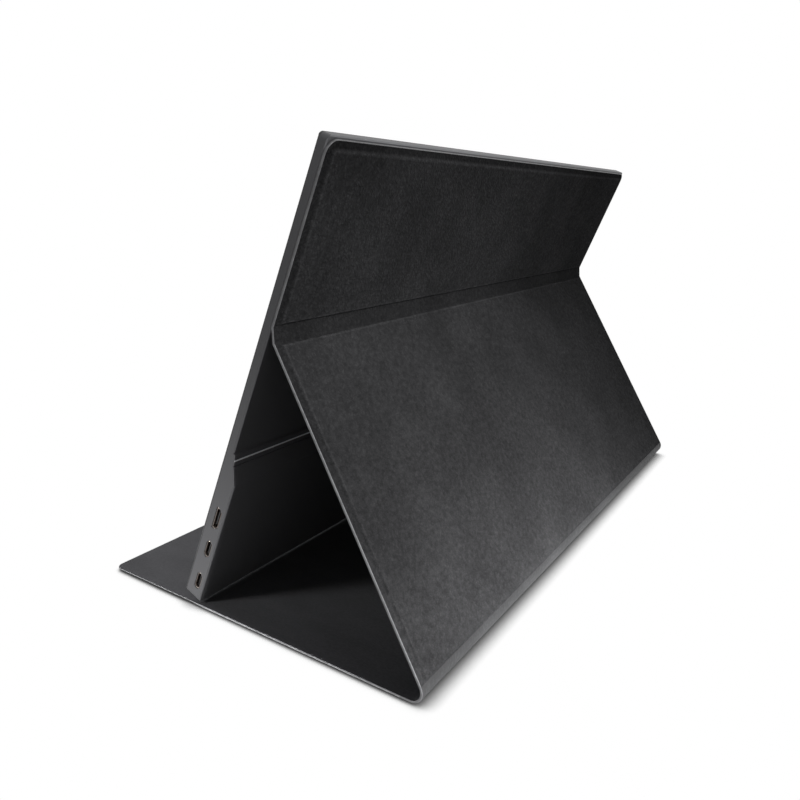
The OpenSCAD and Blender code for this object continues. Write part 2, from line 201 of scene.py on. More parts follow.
class Stance:
    """Where the monitor and the cover's panels stand, in the plane of depth and height."""

    tilt = math.radians(67.4)
    base_l = 188.4 * MM
    foot_from_front = 63.2 * MM
    foot_gap = 0.25 * MM
    thin_back = 5.4 * MM
    crease_v = 147 * MM
    crease_w = 7.9 * MM
    crease_bend_r = 2 * MM
    panel_top = 223 * MM
    cover_r = 6 * MM
    flap_r = 4 * MM
    sheet_w = 356.6 * MM
    rim_w = 3.5 * MM
    fold_margin = 0.8 * MM
    lining_t = 0.4 * MM
    rim_t = 1.0 * MM
    panel_t = 2.0 * MM
    lining_gap = 0.1 * MM
    spine_r = 4.5 * MM
    base_end = 176.2 * MM
    spine_gap = 0.1 * MM
    stand_guess = math.radians(119)

    def __init__(self):
        sheet_z = self.thin_back - self.lining_gap
        up = Vector((math.cos(self.tilt), math.sin(self.tilt)))
        back = Vector((up.y, -up.x))
        self.front_y = CAD_BOX[0].y
        self.foot = Vector((self.foot_from_front, self.panel_t + self.foot_gap))
        self.crease_top = self.foot - back * sheet_z + up * self.crease_v
        self.fold_corner = Vector((self.base_l, self.panel_t))
        # The stand panel's slope is found by steps, as the crease strip halves the bend
        self.stand = self.stand_guess
        for _ in range(12):
            strip = (self.tilt + self.stand) / 2
            down = Vector((math.cos(strip), math.sin(strip))) * self.crease_w
            self.crease_low = self.crease_top - down
            rise = self.crease_low - self.fold_corner
            self.stand = math.atan2(rise.y, rise.x)
        self.stand_l = rise.length
        self.crease_bend = (self.stand - self.tilt) / 2
        self.spine_run = self.spine_r / math.tan((math.pi - self.stand) / 2)
        self.stand_end = self.spine_run + self.spine_gap

    def leaning(self, at, heading):
        """Lays a sheet that is drawn with its inner face at z = 0 and its outside up.

        Its length runs from a point in the plane of depth and height, at a heading.
        """
        place = Matrix.Translation((0, self.front_y + at.x, at.y))
        return place @ Matrix.Rotation(heading, 4, "X") @ Matrix.Rotation(math.pi, 4, "Y")

    def monitor_up(self):
        """The way up the monitor's back."""
        return (0.0, math.cos(self.tilt), math.sin(self.tilt))

    def height_of(self, v):
        """How far up that way a point v up the monitor lies, counted from the origin."""
        foot = (0.0, self.front_y + self.foot.x, self.foot.y)
        return sum(a * b for a, b in zip(foot, self.monitor_up())) + v

    def monitor_back(self):
        """The way that the monitor's back faces."""
        return (0.0, math.sin(self.tilt), -math.cos(self.tilt))

    def monitor(self):
        """The monitor's own axes: X across, Y up the screen, Z towards the screen."""
        place = Matrix.Translation((0, self.front_y + self.foot.x, self.foot.y))
        return place @ Matrix.Rotation(self.tilt, 4, "X")


STANCE = Stance()


# Materials

# How far up the monitor a painted highlight line crosses the shell's slope, as in the photo
STEP_HIGHLIGHT = 81 * MM
# Between these depths the base flap's cut edge turns from its painted shade in front to its full tone
EDGE_TURN = (-34 * MM, -24 * MM)


def feed(tree, node, inputs):
    """Gives each input of a node a value, or links it to a socket or to a node's first output."""
    for key, value in inputs.items():
        if isinstance(value, bpy.types.Node):
            value = next(o for o in value.outputs if o.enabled)
        if isinstance(value, bpy.types.NodeSocket):
            tree.links.new(value, node.inputs[key])
        else:
            node.inputs[key].default_value = value


def add_node(tree, kind, inputs=None, **settings):
    """Adds a node with its settings, and feeds its inputs."""
    node = tree.nodes.new("ShaderNode" + kind)
    for key, value in settings.items():
        setattr(node, key, value)
    feed(tree, node, inputs or {})
    return node


def new_material(name):
    """An empty material with a surface shader, and the point on the object."""
    made = bpy.data.materials.new(name)
    made.use_nodes = True
    tree = made.node_tree
    tree.nodes.clear()
    shader = add_node(tree, "BsdfPrincipled")
    add_node(tree, "OutputMaterial", {"Surface": shader})
    return made, tree, shader, add_node(tree, "TexCoord").outputs["Object"]


def shade(colour, scale=1.0):
    """A colour made darker or brighter by a scale, with its alpha."""
    return tuple(c * scale for c in colour) + (1.0,)


def pu_leather(name, colour, grain, gloss, relief):
    """Polyurethane leather, embossed between rollers and left matt.

    The eye sees soft round pebbles with sharp creases between them, in patches that differ a
    little in tone. A painted highlight makes the pebbles' tops paler, and painted shade darkens
    the creases. An attribute on the mesh carries painted highlights on the shoulders and the
    spine's bend, and painted shade in the pressed grooves and over the crease.
    """
    made, tree, shader, place = new_material(name)
    drift = add_node(tree, "TexNoise", {"Vector": place, "Scale": 1 / (3 * grain), "Detail": 2.0})
    bent = add_node(
        tree,
        "VectorMath",
        {0: drift.outputs["Color"], 1: (1.4 * grain,) * 3, 2: place},
        operation="MULTIPLY_ADD",
    )
    pebbles = add_node(
        tree,
        "TexVoronoi",
        {"Vector": bent, "Scale": 1 / grain, "Smoothness": 0.6},
        feature="SMOOTH_F1",
    )
    cracks = add_node(
        tree, "TexVoronoi", {"Vector": bent, "Scale": 1 / (0.7 * grain)}, feature="DISTANCE_TO_EDGE"
    )
    patches = add_node(tree, "TexNoise", {"Vector": place, "Scale": 1 / (38 * MM), "Detail": 3.0})
    pores = add_node(tree, "TexNoise", {"Vector": place, "Scale": 1 / (0.16 * MM), "Detail": 3.0})
    tops = add_node(
        tree,
        "MapRange",
        {"Value": pebbles, "From Min": 0.12, "From Max": 0.62, "To Min": 1.0, "To Max": 0.0},
        interpolation_type="SMOOTHSTEP",
    )
    crease = add_node(
        tree, "MapRange", {"Value": cracks, "From Max": 0.16}, interpolation_type="SMOOTHSTEP"
    )
    worn = add_node(
        tree,
        "MapRange",
        {"Value": patches, "From Min": 0.36, "From Max": 0.66, "To Min": 0.86, "To Max": 1.14},
    )
    mottle = add_node(
        tree, "TexNoise", {"Vector": place, "Scale": 1 / (1.7 * grain), "Detail": 2.0}
    )
    # Painted highlight: the pebbles' tops are made paler
    painted_top_highlight = add_node(
        tree, "MapRange", {"Value": tops, "To Min": 1 - 0.1 * relief, "To Max": 1 + 0.1 * relief}
    )
    # Painted shade: the creases between the pebbles are made darker
    painted_crease_shade = add_node(tree, "MapRange", {"Value": crease, "To Min": 1 - 0.22 * relief, "To Max": 1.0})
    uneven = add_node(
        tree,
        "MapRange",
        {
            "Value": mottle,
            "From Min": 0.3,
            "From Max": 0.7,
            "To Min": 1 - 0.2 * relief,
            "To Max": 1 + 0.2 * relief,
        },
    )
    # The mesh's attribute of painted highlight and painted shade
    rub = add_node(tree, "Attribute", attribute_name="rub").outputs["Fac"]
    painted_level = add_node(tree, "Math", {0: rub, 1: 1.0}, operation="ADD")
    tone = worn
    for part in (painted_top_highlight, painted_crease_shade, uneven, painted_level):
        tone = add_node(tree, "Math", {0: tone, 1: part}, operation="MULTIPLY")
    base = add_node(tree, "VectorMath", {0: colour, "Scale": tone}, operation="SCALE")
    rough = add_node(tree, "MapRange", {"Value": tops, "To Min": 0.62, "To Max": 0.5})
    normal = add_node(tree, "Bump", {"Height": pores, "Distance": 0.02 * MM, "Strength": 0.35})
    for height, depth in ((crease, 0.05 * MM), (tops, 0.2 * MM)):
        normal = add_node(
            tree,
            "Bump",
            {"Height": height, "Distance": depth, "Strength": relief, "Normal": normal},
        )
    feed(tree, shader, {"Base Color": base, "Roughness": rough, "Normal": normal})
    feed(tree, shader, {"IOR": 1.4, "Specular IOR Level": gloss})
    return made


def pressed_edge(name, colour, gloss, front=1.0):
    """The cover's edge, where a hot blade cut and sealed leather, glue and lining together.

    The grain is gone, and the eye sees a thin smooth line with a soft shine; its pale colour is
    partly the cut edge's own grey and partly a painted highlight. Where the photo shows it
    darker, ahead of the monitor, front scales its tone down as painted shade.
    """
    made, tree, shader, place = new_material(name)
    drawn = add_node(tree, "Mapping", {"Vector": place, "Scale": (1.0, 0.25, 0.25)})
    nicks = add_node(tree, "TexNoise", {"Vector": drawn, "Scale": 1 / (0.7 * MM), "Detail": 3.0})
    tone = add_node(
        tree,
        "MapRange",
        {"Value": nicks, "From Min": 0.3, "From Max": 0.7, "To Min": 0.7, "To Max": 1.25},
    )
    depth = add_node(tree, "SeparateXYZ", {"Vector": place}).outputs["Y"]
    first, last = EDGE_TURN
    # Painted shade: the edge's tone is scaled down ahead of the monitor
    turned = add_node(
        tree,
        "MapRange",
        {"Value": depth, "From Min": first, "From Max": last, "To Min": front, "To Max": 1.0},
    )
    tone = add_node(tree, "Math", {0: tone, 1: turned}, operation="MULTIPLY")
    base = add_node(tree, "VectorMath", {0: colour, "Scale": tone}, operation="SCALE")
    rough = add_node(tree, "MapRange", {"Value": nicks, "To Min": 0.5, "To Max": 0.32})
    normal = add_node(tree, "Bump", {"Height": nicks, "Distance": 0.03 * MM, "Strength": 0.6})
    feed(tree, shader, {"Base Color": base, "Roughness": rough, "Normal": normal})
    feed(tree, shader, {"IOR": 1.5, "Specular IOR Level": gloss})
    return made


def microfibre(colour):
    """Microfibre, woven and then brushed to a short nap that lies one way.

    The eye sees soft strokes, paler and darker, with fine flecks and a glow at low angles.
    """
    made, tree, shader, place = new_material("brushed_microfibre")
    combed = add_node(tree, "Mapping", {"Vector": place, "Scale": (1.0, 0.35, 0.35)})
    nap = add_node(
        tree,
        "TexNoise",
        {"Vector": combed, "Scale": 1 / (0.45 * MM), "Detail": 4.0, "Roughness": 0.65},
    )
    strokes = add_node(tree, "TexNoise", {"Vector": combed, "Scale": 1 / (14 * MM), "Detail": 2.0})
    broad = add_node(
        tree,
        "MapRange",
        {"Value": strokes, "From Min": 0.35, "From Max": 0.65, "To Min": 0.9, "To Max": 1.1},
    )
    fleck = add_node(
        tree,
        "MapRange",
        {"Value": nap, "From Min": 0.35, "From Max": 0.7, "To Min": 0.92, "To Max": 1.35},
    )
    tone = add_node(tree, "Math", {0: broad, 1: fleck}, operation="MULTIPLY")
    base = add_node(tree, "VectorMath", {0: colour, "Scale": tone}, operation="SCALE")
    normal = add_node(tree, "Bump", {"Height": nap, "Distance": 0.08 * MM, "Strength": 0.8})
    feed(tree, shader, {"Base Color": base, "Normal": normal})
    feed(tree, shader, {"Roughness": 0.92, "IOR": 1.4, "Specular IOR Level": 0.02})
    feed(tree, shader, {"Sheen Weight": 0.1, "Sheen Roughness": 0.4})
    return made


def anodised_shell(colour):
    """Aluminium sheet, bead-blasted and anodised dark.

    The eye sees an even satin with a very fine sparkle. A painted highlight makes each bevel
    paler, and a thin painted highlight line crosses the slope of the shell's back.
    """
    made, tree, shader, place = new_material("anodised_dark_aluminium")
    facing = add_node(
        tree,
        "VectorMath",
        {0: add_node(tree, "TexCoord").outputs["Normal"], 1: STANCE.monitor_back()},
        operation="DOT_PRODUCT",
    )
    # Painted highlight: the bevels at 45 degrees are made paler
    bevel = add_node(tree, "Math", {0: facing, 1: math.sqrt(0.5), 2: 0.1}, operation="COMPARE")
    height = add_node(
        tree, "VectorMath", {0: place, 1: STANCE.monitor_up()}, operation="DOT_PRODUCT"
    )
    # Painted highlight: a pale line across the sloped back at one height
    line = add_node(
        tree, "Math", {0: height, 1: STANCE.height_of(STEP_HIGHLIGHT), 2: 0.4 * MM}, operation="COMPARE"
    )
    sloped = add_node(tree, "Math", {0: facing, 1: 0.3}, operation="GREATER_THAN")
    painted_step_line = add_node(tree, "Math", {0: line, 1: sloped}, operation="MULTIPLY")
    grit = add_node(tree, "TexNoise", {"Vector": place, "Scale": 1 / (0.22 * MM), "Detail": 2.0})
    bath = add_node(tree, "TexNoise", {"Vector": place, "Scale": 1 / (90 * MM), "Detail": 2.0})
    tone = add_node(
        tree,
        "MapRange",
        {"Value": bath, "From Min": 0.35, "From Max": 0.65, "To Min": 0.95, "To Max": 1.05},
    )
    satin = add_node(tree, "VectorMath", {0: colour, "Scale": tone}, operation="SCALE")
    base = add_node(
        tree, "Mix", {"Factor": bevel, "A": satin, "B": shade(colour, 2.0)}, data_type="RGBA"
    )
    base = add_node(
        tree, "Mix", {"Factor": painted_step_line, "A": base, "B": shade(linear("#e2e3e5"))}, data_type="RGBA"
    )
    rough = add_node(
        tree,
        "MapRange",
        {"Value": grit, "From Min": 0.3, "From Max": 0.7, "To Min": 0.4, "To Max": 0.5},
    )
    normal = add_node(tree, "Bump", {"Height": grit, "Distance": 0.012 * MM, "Strength": 0.5})
    feed(tree, shader, {"Base Color": base, "Roughness": rough, "Normal": normal})
    feed(tree, shader, {"Specular IOR Level": 0.3})
    return made


def moulded_plastic(name, colour, spark=0.3 * MM, rough=0.5):
    """Plastic, injection-moulded in a spark-eroded tool: fine even pits and a low gloss."""
    made, tree, shader, place = new_material(name)
    pits = add_node(tree, "TexNoise", {"Vector": place, "Scale": 1 / spark, "Detail": 2.0})
    base = add_node(
        tree,
        "Mix",
        {"Factor": pits, "A": shade(colour, 0.85), "B": shade(colour, 1.15)},
        data_type="RGBA",
    )
    gloss = add_node(
        tree, "MapRange", {"Value": pits, "To Min": rough - 0.12, "To Max": rough + 0.12}
    )
    normal = add_node(tree, "Bump", {"Height": pits, "Distance": 0.02 * MM, "Strength": 0.5})
    feed(tree, shader, {"Base Color": base, "Roughness": gloss, "Normal": normal, "IOR": 1.5})
    return made


def antiglare_screen(colour):
    """A switched-off panel under an etched film: near black, with lights spread to a haze."""
    made, tree, shader, place = new_material("etched_antiglare_film")
    etch = add_node(tree, "TexNoise", {"Vector": place, "Scale": 1 / (0.12 * MM), "Detail": 1.0})
    base = add_node(
        tree,
        "Mix",
        {"Factor": etch, "A": shade(colour, 0.9), "B": shade(colour, 1.15)},
        data_type="RGBA",
    )
    rough = add_node(
        tree,
        "MapRange",
        {"Value": etch, "From Min": 0.3, "From Max": 0.7, "To Min": 0.3, "To Max": 0.42},
    )
    normal = add_node(tree, "Bump", {"Height": etch, "Distance": 0.004 * MM, "Strength": 0.5})
    feed(tree, shader, {"Base Color": base, "Roughness": rough, "Normal": normal})
    feed(tree, shader, {"IOR": 1.49, "Coat Weight": 0.35, "Coat Roughness": 0.28})
    return made


def sheet_metal(name, hex_colour, streak, rough=0.3):
    """Metal sheet, cold-rolled and plated: bright, with long faint streaks from the mill."""
    made, tree, shader, place = new_material(name)
    rolled = add_node(tree, "Mapping", {"Vector": place, "Scale": (0.06, 1.0, 1.0)})
    streaks = add_node(tree, "TexNoise", {"Vector": rolled, "Scale": 1 / streak, "Detail": 3.0})
    colour = linear(hex_colour)
    base = add_node(
        tree,
        "Mix",
        {"Factor": streaks, "A": shade(colour, 0.88), "B": shade(colour, 1.1)},
        data_type="RGBA",
    )
    polish = add_node(
        tree, "MapRange", {"Value": streaks, "To Min": rough - 0.12, "To Max": rough + 0.16}
    )
    normal = add_node(tree, "Bump", {"Height": streaks, "Distance": 0.005 * MM, "Strength": 0.4})
    feed(tree, shader, {"Base Color": base, "Roughness": polish, "Normal": normal})
    feed(tree, shader, {"Metallic": 1.0})
    return made


def galvanised_steel():
    """Steel, hot-dipped in zinc: large flat crystals, each with its own grey and sheen."""
    made, tree, shader, place = new_material("galvanised_steel")
    crystals = add_node(tree, "TexVoronoi", {"Vector": place, "Scale": 1 / (7 * MM)})
    value = add_node(tree, "SeparateColor", {"Color": crystals.outputs["Color"]}).outputs["Red"]
    base = add_node(
        tree,
        "Mix",
        {"Factor": value, "A": shade(linear("#8d9093")), "B": shade(linear("#b4b7ba"))},
        data_type="RGBA",
    )
    rough = add_node(tree, "MapRange", {"Value": value, "To Min": 0.3, "To Max": 0.5})
    feed(tree, shader, {"Base Color": base, "Roughness": rough, "Metallic": 1.0})
    return made


def circuit_board():
    """Glass laminate under green solder mask: copper tracks show as paler, raised lines."""
    made, tree, shader, place = new_material("green_solder_mask")
    tracks = add_node(
        tree,
        "TexBrick",
        {
            "Vector": place,
            "Scale": 1 / (4 * MM),
            "Mortar Size": 0.05,
            "Color1": (0, 0, 0, 1),
            "Color2": (0, 0, 0, 1),
            "Mortar": (1, 1, 1, 1),
        },
    ).outputs["Color"]
    base = add_node(
        tree,
        "Mix",
        {"Factor": tracks, "A": shade(linear("#123d22")), "B": shade(linear("#2a6b3d"))},
        data_type="RGBA",
    )
    normal = add_node(tree, "Bump", {"Height": tracks, "Distance": 0.03 * MM, "Strength": 0.4})
    feed(tree, shader, {"Base Color": base, "Normal": normal, "Roughness": 0.35, "IOR": 1.52})
    return made


def pressed_fibre_board():
    """Greyboard, pressed from short waste fibres: dull and even, with paler flecks."""
    made, tree, shader, place = new_material("pressed_fibre_board")
    fibres = add_node(
        tree,
        "TexNoise",
        {"Vector": place, "Scale": 1 / (0.8 * MM), "Detail": 5.0, "Roughness": 0.7},
    )
    base = add_node(
        tree,
        "Mix",
        {"Factor": fibres, "A": shade(linear("#6b5a49")), "B": shade(linear("#a08c74"))},
        data_type="RGBA",
    )
    normal = add_node(tree, "Bump", {"Height": fibres, "Distance": 0.05 * MM, "Strength": 0.5})
    feed(tree, shader, {"Base Color": base, "Normal": normal, "Roughness": 0.85})
    return made


def dotted_acrylic():
    """Clear cast acrylic with a printed grid of white dots that turn the light outwards."""
    made, tree, shader, place = new_material("dotted_acrylic")
    dots = add_node(
        tree, "TexVoronoi", {"Vector": place, "Scale": 1 / (0.9 * MM), "Randomness": 0.0}
    )
    printed = add_node(
        tree,
        "MapRange",
        {"Value": dots, "From Min": 0.25, "From Max": 0.3, "To Min": 1.0, "To Max": 0.0},
    )
    base = add_node(
        tree,
        "Mix",
        {"Factor": printed, "A": shade(linear("#e4eef0")), "B": shade(linear("#ffffff"))},
        data_type="RGBA",
    )
    feed(tree, shader, {"Base Color": base, "Roughness": 0.12})
    feed(tree, shader, {"IOR": 1.49, "Transmission Weight": 0.6})
    return made


def make_finishes():
    """Every finish, under the record's name for it."""
    cover = bpy.context.scene.cover_settings
    monitor = bpy.context.scene.monitor_settings
    leather, grain = cover.leather, cover.grain
    return {
        "black_leather": pu_leather("embossed_pu_leather", leather, grain, 0.0015, 1.0),
        "stretched_leather": pu_leather("stretched_pu_leather", leather, grain, 0.2, 0.3),
        # Pale cut edge: partly its own grey, partly a painted highlight
        "sealed_edge": pressed_edge("heat_sealed_edge", cover.edge, 0.5),
        # Painted reflection: the base flap's edge is made pale behind the monitor, with painted shade ahead
        # of it
        "edge_with_painted_light": pressed_edge("dyed_sealed_edge", linear("#b0b0b2"), 0.15, 0.03),
        "grey_microfibre": microfibre(cover.lining),
        "dark_grey_shell": anodised_shell(monitor.shell),
        "black_bezel": moulded_plastic("black_moulded_abs", monitor.bezel),
        "screen_surface": antiglare_screen(monitor.screen),
        "white_film": moulded_plastic("white_pet_film", linear("#e9e9e6"), 0.5 * MM, 0.3),
        "clear_acrylic": dotted_acrylic(),
        "led_strip": moulded_plastic("phosphor_yellow", linear("#d9cf96"), 2 * MM, 0.4),
        "tray_steel": galvanised_steel(),
        "green_board": circuit_board(),
        "chip_black": moulded_plastic("black_epoxy", linear("#202124"), 0.4 * MM, 0.6),
        "amber_flex": moulded_plastic("amber_polyimide", linear("#b8771f"), 1 * MM, 0.25),
        "bare_aluminium": sheet_metal("rolled_aluminium", "#c9cacc", 0.8 * MM, 0.35),
        "screw_steel": sheet_metal("zinc_plated_steel", "#8f9194", 0.5 * MM, 0.35),
        "socket_steel": sheet_metal("satin_nickel", "#8f8680", 0.4 * MM, 0.34),
        "socket_plastic": moulded_plastic("black_nylon", linear("#17171a"), 0.3 * MM, 0.45),
        "key_plastic": moulded_plastic("black_polycarbonate", monitor.bezel, 0.25 * MM, 0.42),
        "red_wire": moulded_plastic("red_pvc", linear("#a31f1c"), 0.8 * MM, 0.35),
        "magnet_nickel": sheet_metal("bright_nickel", "#a9abad", 0.6 * MM, 0.2),
        "fibre_board": pressed_fibre_board(),
        "gold_contact": sheet_metal("gold_flash", "#d6b464", 0.4 * MM, 0.2),
    }


FINISHES = {}


# Mesh helpers


def outline(low, high, corners, steps=12):
    """Points round a rectangle whose four corners are rounded, or cut off where steps is 1.

    The corners start at the low left and run anticlockwise.
    """
    points = []
    ends = ((low[0], low[1]), (high[0], low[1]), (high[0], high[1]), (low[0], high[1]))
    ways = ((1, 1), (-1, 1), (-1, -1), (1, -1))
    for i, ((x, y), (way_x, way_y), size) in enumerate(zip(ends, ways, corners)):
        for k in range(steps + 1):
            angle = math.pi + (i + k / steps) * math.pi / 2
            points.append(
                Vector(
                    (
                        x + way_x * size + size * math.cos(angle),
                        y + way_y * size + size * math.sin(angle),
                    )
                )
            )
    return points


def loft(bm, rings):
    """Extrudes a flat face from ring to ring.

    Each ring is its outline and its height, and on leather also how far painted highlight
    lightens it or painted shade darkens it, and the material slot of the faces that lead to it.
    """
    rub = bm.verts.layers.float.get("rub") or bm.verts.layers.float.new("rub")
    count = len(rings[0][0])
    ring = bmesh.ops.create_circle(bm, cap_ends=True, segments=count, radius=1)["verts"]
    face = ring[0].link_faces[0]
    for i, (points, height, *marks) in enumerate(rings):
        painted_level, slot = marks or (0, 0)
        if i > 0:
            geom = bmesh.ops.extrude_face_region(bm, geom=[face])["geom"]
            if i > 1:
                bmesh.ops.delete(bm, geom=[face], context="FACES_ONLY")
            face = next(g for g in geom if isinstance(g, bmesh.types.BMFace))
            fresh = {g for g in geom if isinstance(g, bmesh.types.BMVert)}
            pairs = [[e.other_vert(v) for e in v.link_edges] for v in ring]
            ring = [next(v for v in others if v in fresh) for others in pairs]
            for side in {f for e in face.edges for f in e.link_faces} - {face}:
                side.material_index = slot
        for vert, point in zip(ring, points):
            vert.co = (point.x, point.y, height)
            vert[rub] = painted_level


def finish_mesh(name, bm, place, slot, *finishes, sharp=math.radians(35)):
    """Puts a bmesh in its place as an object, smooth but for its sharp edges."""
    bmesh.ops.remove_doubles(bm, verts=bm.verts, dist=1e-7)
    bmesh.ops.recalc_face_normals(bm, faces=bm.faces)
    bmesh.ops.transform(bm, matrix=place, verts=bm.verts)
    for edge in bm.edges:
        edge.smooth = edge.is_manifold and edge.calc_face_angle(0) < sharp
    for face in bm.faces:
        face.smooth = True
    mesh = bpy.data.meshes.new(name)
    bm.to_mesh(mesh)
    bm.free()
    made = bpy.data.objects.new(name, mesh)
    bpy.context.scene.collection.objects.link(made)
    for finish in finishes or (slot,):
        mesh.materials.append(FINISHES[finish])
    return made


# Cover panels

# How far a painted highlight lightens the leather on a board's shoulder and beside the spine,
# and how far painted shade darkens it in a pressed groove and over the crease
SHOULDER_PAINTED_HIGHLIGHT = 0.4
SPINE_END_HIGHLIGHT = 0.1
GROOVE_AND_CREASE_SHADE = -0.3
# How far in from the shoulder two rings lie on the flat, the first where the shoulder's painted highlight
# ends
FLAT_RINGS = (0.8 * MM, 3 * MM)
# Heights above the table in millimetres, and how far a painted highlight makes the spine's
# bend pale there, to match the photo
SPINE_BEND_HIGHLIGHT = ((1.5, 1.2), (1.8, 2.0), (2.9, 2.0), (4.0, 0.6), (5.5, 0.3), (8.5, 0.0))
# Degrees that one face of a bend turns
BEND_STEP = 6


def panel_ring(ends, inset, fold_inset):
    """A panel's outline, drawn in by inset from its free edges and by fold_inset at a fold."""
    half = STANCE.sheet_w / 2 - inset
    (low, low_r, low_fold), (high, high_r, high_fold) = ends
    low_in, high_in = (fold_inset if fold else inset for fold in (low_fold, high_fold))
    low_r, high_r = (max(r - inset, 0.6 * MM) if r > 0 else 0 for r in (low_r, high_r))
    return outline((-half, low + low_in), (half, high - high_in), (low_r, low_r, high_r, high_r))


def leather_panel(name, ends, place, edge):
    """Leather over one stiff board: a rounded pressed rim, a soft shoulder and a flat top.

    Each end is its height, its corner radius and which fold it is, if any.
    """
    cover = bpy.context.scene.cover_settings
    bm = bmesh.new()
    rings = [(panel_ring(ends, 0, 0), STANCE.lining_t, 0, 0)]
    for k in range(5):
        turn = k * math.pi / 8
        inset = cover.edge_r * (1 - math.cos(turn))
        height = STANCE.rim_t - cover.edge_r * (1 - math.sin(turn))
        # Painted shade in the groove of the pressed rim
        rings.append((panel_ring(ends, inset, 0), height, GROOVE_AND_CREASE_SHADE, 1))
    steps = 8
    for k in range(steps + 1):
        inward = cover.shoulder_w * (k / steps - 0.5)
        climb = (1 - math.cos(math.pi * k / steps)) / 2
        height = STANCE.rim_t + (STANCE.panel_t - STANCE.rim_t) * climb
        ring = panel_ring(ends, STANCE.rim_w + inward, STANCE.fold_margin + inward)
        # From painted shade in the groove to a painted highlight on the shoulder's top
        painted_level = GROOVE_AND_CREASE_SHADE + (SHOULDER_PAINTED_HIGHLIGHT - GROOVE_AND_CREASE_SHADE) * climb
        rings.append((ring, height, painted_level, 0))
    for flat in FLAT_RINGS:
        inward = cover.shoulder_w / 2 + flat
        ring = panel_ring(ends, STANCE.rim_w + inward, STANCE.fold_margin + inward)
        rings.append((ring, STANCE.panel_t, 0, 0))
    loft(bm, rings)
    rub = bm.verts.layers.float["rub"]
    # Beside the spine the leather gets a faint painted highlight instead
    near = STANCE.fold_margin + cover.shoulder_w + FLAT_RINGS[0]
    for level in (end[0] for end in ends if end[2] == "spine"):
        for vert in bm.verts:
            if abs(vert.co.y - level) < near:
                vert[rub] = SPINE_END_HIGHLIGHT
    return finish_mesh(name, bm, place, "black_leather", "black_leather", edge)


def lining_panel(name, ends, place):
    """Soft lining glued over the inside of one panel, with a slightly rounded cut edge."""
    bm = bmesh.new()
    cut_r = 0.15 * MM
    rings = [(panel_ring(ends, 2 * cut_r, 0), 0, 0, 0)]
    for k in range(4):
        turn = k * math.pi / 6
        ring = panel_ring(ends, cut_r * (1 - math.sin(turn)), 0)
        rings.append((ring, cut_r * (1 - math.cos(turn)), 0, int(k > 1)))
    rings.append((panel_ring(ends, 0, 0), STANCE.lining_t, 0, 1))
    loft(bm, rings)
    return finish_mesh(name, bm, place, "grey_microfibre", "grey_microfibre", "sealed_edge")


def fold_section(low, high, edge_r, round_top):
    """The end of a flexible strip: as wide as the cover, between two heights off its inner face."""
    bm = bmesh.new()
    bmesh.ops.create_grid(bm, x_segments=1, y_segments=1, size=0.5)
    bmesh.ops.rotate(bm, matrix=Matrix.Rotation(math.pi / 2, 3, "X"), verts=bm.verts)
    bmesh.ops.scale(bm, vec=(STANCE.sheet_w, 1, high - low), verts=bm.verts)
    middle = (low + high) / 2
    bmesh.ops.translate(bm, vec=(0, 0, middle), verts=bm.verts)
    bmesh.ops.bevel(
        bm,
        geom=[v for v in bm.verts if (v.co.z > middle) == round_top],
        offset=edge_r,
        affect="VERTICES",
        segments=4 if round_top else 3,
        profile=0.5,
        material=-1,
    )
    return bm, bm.faces[:]


def run_on(bm, faces, path):
    """Carries a section along its path: straight runs, and bends about the X axis.

    It starts at the origin and heads along +Y with its outside up. A bend is the radius of its
    inner face and the angle it turns, towards the inside if positive.
    """
    heading, at = 0.0, Vector((0, 0, 0))
    ends = list(faces)
    for stage, (radius, amount) in enumerate(path):
        before = ends
        along = Vector((0, math.cos(heading), -math.sin(heading)))
        inward = Vector((0, -math.sin(heading), -math.cos(heading)))
        if radius is None:
            made = bmesh.ops.extrude_face_region(bm, geom=ends)["geom"]
            ends = [g for g in made if isinstance(g, bmesh.types.BMFace)]
            verts = {v for f in ends for v in f.verts}
            bmesh.ops.translate(bm, vec=along * amount, verts=list(verts))
            at = at + along * amount
        else:
            centre = at + inward * (radius if amount > 0 else -radius)
            made = bmesh.ops.spin(
                bm,
                geom=ends,
                cent=centre,
                axis=(-1, 0, 0),
                angle=amount,
                steps=max(4, round(abs(math.degrees(amount)) / BEND_STEP)),
                use_merge=False,
            )["geom_last"]
            ends = [g for g in made if isinstance(g, bmesh.types.BMFace)]
            at = centre + Matrix.Rotation(-amount, 3, "X") @ (at - centre)
            heading += amount
        if stage > 0:
            bmesh.ops.delete(bm, geom=before, context="FACES_ONLY")


def fold_strip(name, layer, path, place, finish, painted_by_height):
    """One layer of a flexible strip, from the panel before the fold to the panel after it.

    Its last argument lists heights, and how far a painted highlight lightens the strip there; a
    value below zero is painted shade that darkens it.
    """
    low, high, edge_r, round_top, slot = layer
    bm, faces = fold_section(low, high, edge_r, round_top)
    run_on(bm, faces, path)
    bm.normal_update()
    for face in bm.faces:
        face.material_index = int(abs(face.normal.x) > 0.5)
    rub = bm.verts.layers.float.new("rub")
    for vert in bm.verts:
        height = (place @ vert.co).z / MM
        for before, after in zip(painted_by_height, painted_by_height[1:]):
            if height < after[0]:
                break
        share = min(max((height - before[0]) / (after[0] - before[0]), 0), 1)
        vert[rub] = before[1] + share * (after[1] - before[1])
    return finish_mesh(name, bm, place, slot, finish, "sealed_edge")


def cover_layers():
    """A strip's layers: their heights, edge radius, whether the top is rounded, and slot."""
    cover = bpy.context.scene.cover_settings
    return {
        "leather": (STANCE.lining_t, STANCE.rim_t, cover.edge_r, True, "black_leather"),
        "lining": (0.0, STANCE.lining_t, 0.15 * MM, False, "grey_microfibre"),
    }


